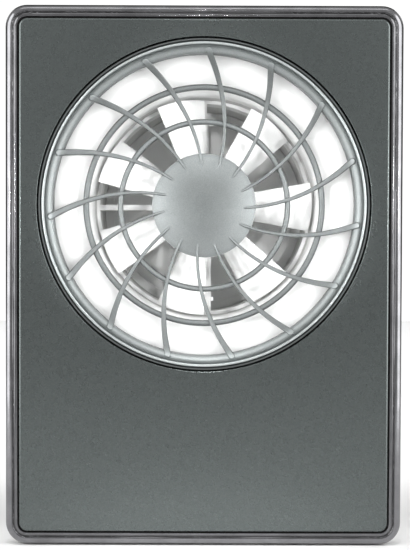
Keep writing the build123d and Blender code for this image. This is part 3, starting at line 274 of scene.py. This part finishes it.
def silver_grille(name):
    """Silver paint in bands that follow the grille's outer ring, with painted light and shade: painted
    shade darkest in the hub's middle and in the gap, painted highlights in the outer ring's hollow and
    on its bead.
    """
    bands = [
        # Painted shade in the hub's middle, lighter towards its edge as a painted highlight, then the
        # ribs and the two rings.
        (0.0, 0.17), (0.013, 0.2), (0.025, 0.29), (0.029, 0.24), (0.0765, 0.24),
        # Painted highlight in the hollow of the outer ring.
        (0.0785, 0.3), (0.0797, 0.46), (0.082, 0.48), (0.0824, 0.32),
        # Painted highlight on the bead, then painted shade in the groove and on the lip, and a painted
        # shadow in the gap outside it.
        (0.0827, 0.72), (0.0838, 0.72), (0.0842, 0.13), (0.0852, 0.2), (0.0857, 0.01),
    ]
    return flaked(
        name, dark=(0.55, 0.592, 0.592), light=(0.78, 0.832, 0.832), rough=0.5, reach=0.1, bands=bands
    )


FINISHES = {
    "plate_metallic": flaked(
        "plate_metallic", dark=(0.092, 0.103, 0.102), light=(0.148, 0.166, 0.163), rough=0.28
    ),
    "smoked_gloss": smoked_bezel("smoked_gloss"),
    "dark_plastic": moulded("dark_plastic", (0.012, 0.012, 0.013), rough=0.5),
    "seal_rubber": moulded("seal_rubber", (0.003, 0.003, 0.003), rough=0.9, Specular_IOR_Level=0.1),
    "silver_paint": silver_grille("silver_paint"),
    "white_plastic": moulded("white_plastic", (0.895, 0.9, 0.895), rough=0.38, spread=0.015),
    # A greyer copy of white_plastic, painted shade for the outer shell and the duct spigot.
    "casing_shaded_white": moulded("casing_shaded_white", (0.63, 0.63, 0.62), rough=0.42, spread=0.02),
    "spring_steel": metal("spring_steel", (0.55, 0.55, 0.54), rough=0.28),
    "zinc_steel": metal("zinc_steel", (0.62, 0.62, 0.60), rough=0.34),
    "bright_steel": metal("bright_steel", (0.72, 0.72, 0.71), rough=0.16),
    "core_steel": metal("core_steel", (0.30, 0.30, 0.31), rough=0.45, stretch=(1, 30, 1)),
    "copper_wire": metal("copper_wire", (0.72, 0.30, 0.14), rough=0.25),
    "ferrite": moulded("ferrite", (0.028, 0.028, 0.03), rough=0.6),
    "board_green": moulded("board_green", (0.015, 0.12, 0.045), rough=0.35, spread=0.1, Coat_Weight=0.4),
    "white_lead": moulded("white_lead", (0.75, 0.75, 0.72), rough=0.45),
    "blue_lead": moulded("blue_lead", (0.03, 0.10, 0.42), rough=0.45),
    "grey_rubber": moulded("grey_rubber", (0.16, 0.165, 0.17), rough=0.7, spread=0.08),
    "blue_plastic": moulded("blue_plastic", (0.02, 0.13, 0.45), rough=0.35),
    "yellow_plastic": moulded("yellow_plastic", (0.72, 0.52, 0.05), rough=0.4),
    "black_plastic": moulded("black_plastic", (0.022, 0.022, 0.024), rough=0.45),
    "nylon": moulded("nylon", (0.70, 0.69, 0.63), rough=0.45),
}


def dress_nodes():
    """Each node gets its slot's finish. The outer shell and the duct spigot get a greyer copy of the
    white plastic: painted shade that keeps them from washing out under the side lamps.
    """
    finish_of = {part["node"]: part["material_slot"] for part in frame["record"]["subparts"]}
    finish_of.update({"casing": "casing_shaded_white", "duct_spigot": "casing_shaded_white"})
    for name, piece in frame["nodes"].items():
        piece.data.materials.clear()
        piece.data.materials.append(FINISHES[finish_of[name]])


def rounded(half_width, half_height, radius, steps=10):
    """Points round a rectangle with rounded corners, from its middle."""
    points = []
    for corner, (sx, sz) in enumerate(((1, 1), (-1, 1), (-1, -1), (1, -1))):
        for step in range(steps + 1):
            angle = math.radians(90 * corner + 90 * step / steps)
            points.append((
                sx * (half_width - radius) + radius * math.cos(angle),
                sz * (half_height - radius) + radius * math.sin(angle),
            ))
    return points


def band(name, inner, outer, front, back, middle_z, body, finish):
    """A closed ring between two outlines with as many points, from front to back."""
    count = len(inner)
    loops = ((inner, back), (inner, front), (outer, front), (outer, back))
    verts = [(x, y, z + middle_z) for outline, y in loops for x, z in outline]
    faces = []
    for loop in range(len(loops)):
        here = loop * count
        there = (loop + 1) % len(loops) * count
        for i in range(count):
            j = (i + 1) % count
            faces.append((here + i, here + j, there + j, there + i))
    mesh = bpy.data.meshes.new(name)
    mesh.from_pydata(verts, [], faces)
    mesh.materials.append(finish)
    mesh.validate()
    ring = bpy.data.objects.new(name, mesh)
    bpy.context.scene.collection.objects.link(ring)
    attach(ring, body)


def shade_plate_gap():
    """A near-black strip in the gap between the plate and the bezel, a little over the plate's edge:
    painted shade standing in for the gap's shadow, which also darkens part of the plate edge's
    highlight.
    """
    gap_width = 0.0006
    play = 0.00003
    # The strip reaches over the plate's rounded edge as painted shade.
    overlap = 0.00015
    height = 0.0015
    plate_thickness = 0.0024
    plate_corner_r = 0.0044
    half_width, half_height, middle_z = half_sizes("front_plate")
    plate_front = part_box("front_plate")[0].y
    back = plate_front + plate_thickness
    inwards = -overlap
    outwards = gap_width - play
    band(
        "plate_gap_shade",
        rounded(half_width + inwards, half_height + inwards, plate_corner_r + inwards),
        rounded(half_width + outwards, half_height + outwards, plate_corner_r + outwards),
        back - height, back, middle_z, "front_cover", FINISHES["seal_rubber"],
    )


def lay_floor():
    """A plain pale floor just under the object."""
    gap = 0.0005
    half_width = 3
    front = -3
    back = 1.8
    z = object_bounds()[0].z - gap
    mesh = bpy.data.meshes.new("floor")
    corners = [
        (-half_width, front, z), (half_width, front, z), (half_width, back, z), (-half_width, back, z),
    ]
    mesh.from_pydata(corners, [], [(0, 1, 2, 3)])
    mesh.materials.append(moulded("pale_floor", (0.86, 0.86, 0.86), rough=0.7, spread=0.01))
    floor = bpy.data.objects.new("floor", mesh)
    bpy.context.scene.collection.objects.link(floor)


def paint_room(strengths):
    """A room whose strength changes from front to back.

    Strengths are pairs of a direction's Y, from -1 in front to 1 behind, and the strength there.
    """
    world = bpy.data.worlds.new("studio")
    bpy.context.scene.world = world
    world.use_nodes = True
    nodes = world.node_tree.nodes
    links = world.node_tree.links
    toward = nodes.new("ShaderNodeSeparateXYZ")
    links.new(nodes.new("ShaderNodeTexCoord").outputs["Generated"], toward.inputs[0])
    from_front = nodes.new("ShaderNodeMapRange")
    set_inputs(from_front, {"From Min": -1.0, "From Max": 1.0})
    links.new(toward.outputs["Y"], from_front.inputs["Value"])
    fade = nodes.new("ShaderNodeValToRGB")
    set_stops(fade.color_ramp, [((y + 1) / 2, grey(strength)) for y, strength in strengths])
    links.new(from_front.outputs["Result"], fade.inputs["Fac"])
    links.new(fade.outputs["Color"], nodes["Background"].inputs["Color"])
    nodes["Background"].inputs["Strength"].default_value = 1.0


COVER_MIDDLE = (0, -0.02, -0.03)


def hang(name, kind, place, target, power):
    """A light at its place, turned from straight down to its target by the shortest way."""
    data = bpy.data.lights.new(name, kind)
    data.energy = power
    light = bpy.data.objects.new(name, data)
    bpy.context.scene.collection.objects.link(light)
    light.location = place
    light.rotation_euler = (Vector(target) - Vector(place)).to_track_quat("-Z", "Z").to_euler()
    return data


def soft_box(name, place, target, power, width, height):
    data = hang(name, "AREA", place, target, power)
    data.shape = "RECTANGLE"
    data.size = width
    data.size_y = height


def spot(name, place, target, power, cone, radius, blend=1.0):
    """A round lamp with its beam's whole angle in degrees."""
    data = hang(name, "SPOT", place, target, power)
    data.spot_size = math.radians(cone)
    data.spot_blend = blend
    data.shadow_soft_size = radius


def light_cover():
    """Boxes at both sides and above, for the bright bands on the bezel's rolls."""
    side_box_x = 0.53
    side_box_y = -0.302
    side_box_z = 0.045
    for side, name in ((-1, "left_box"), (1, "right_box")):
        soft_box(
            name, place=(side * side_box_x, side_box_y, side_box_z), target=(0, -0.02, side_box_z),
            power=4.5, width=0.87, height=0.44,
        )
    soft_box("top_box", place=(0, -0.8, 1.2), target=COVER_MIDDLE, power=3.0, width=1.2, height=0.3)


def light_floor():
    """White floor behind the object and at its foot."""
    aim_z = -0.18
    behind_y = 1.18
    spot(
        "floor_behind", place=(0, behind_y, 1.6), target=(0, behind_y, aim_z),
        power=74, cone=65, radius=0.05, blend=0.1,
    )
    spot(
        "floor_at_foot", place=(0, -0.5, 1.0), target=(0, -0.1, aim_z),
        power=40, cone=12, radius=0.04,
    )


def light_inside():
    """Narrow beams through the grille, which keep the white pieces behind it bright."""
    fan_mouth = (0, -0.03, 0)
    places = [
        (-0.78, -1.0, 0.05), (0.78, -1.0, 0.05), (0, -1.1, 0.65),
        (-0.4, -1.2, -0.14), (0.4, -1.2, -0.14),
    ]
    for place in places:
        spot("intake", place, fan_mouth, power=16, cone=6.4, radius=0.02, blend=0.3)


def light_back():
    """Two boxes behind the object, for views from there."""
    for side in (-1, 1):
        soft_box(
            "back_box", place=(side * 1.6, 1.5, 1.2), target=COVER_MIDDLE, power=6, width=1.0, height=1.0
        )


def place_camera():
    """A camera square on to the cover, apart from small turns, which are in radians."""
    lens = 75.478
    place = (-0.00123936, -0.638747, -0.0220705)
    yaw = -0.00301638
    pitch = -0.02397
    roll = -0.00328721
    data = bpy.data.cameras.new("camera")
    data.sensor_width = 36.0
    data.lens = lens
    data.clip_start = 0.02
    data.clip_end = 50.0
    camera = bpy.data.objects.new("camera", data)
    bpy.context.scene.collection.objects.link(camera)
    towards_wall = Matrix.Rotation(math.pi / 2, 4, "X")
    turn = Matrix.Rotation(yaw, 4, "Z") @ Matrix.Rotation(pitch, 4, "X") @ Matrix.Rotation(roll, 4, "Y")
    camera.matrix_world = Matrix.Translation(place) @ turn @ towards_wall
    bpy.context.scene.camera = camera


dress_nodes()
shade_plate_gap()
lay_floor()
# Pale in front, dim at the sides, and white behind the object.
paint_room([(0.16, 0.68), (0.32, 0.035), (0.84, 0.035), (0.93, 1.06)])
light_cover()
light_floor()
light_inside()
light_back()
place_camera()
bpy.context.scene.view_settings.view_transform = "Standard"
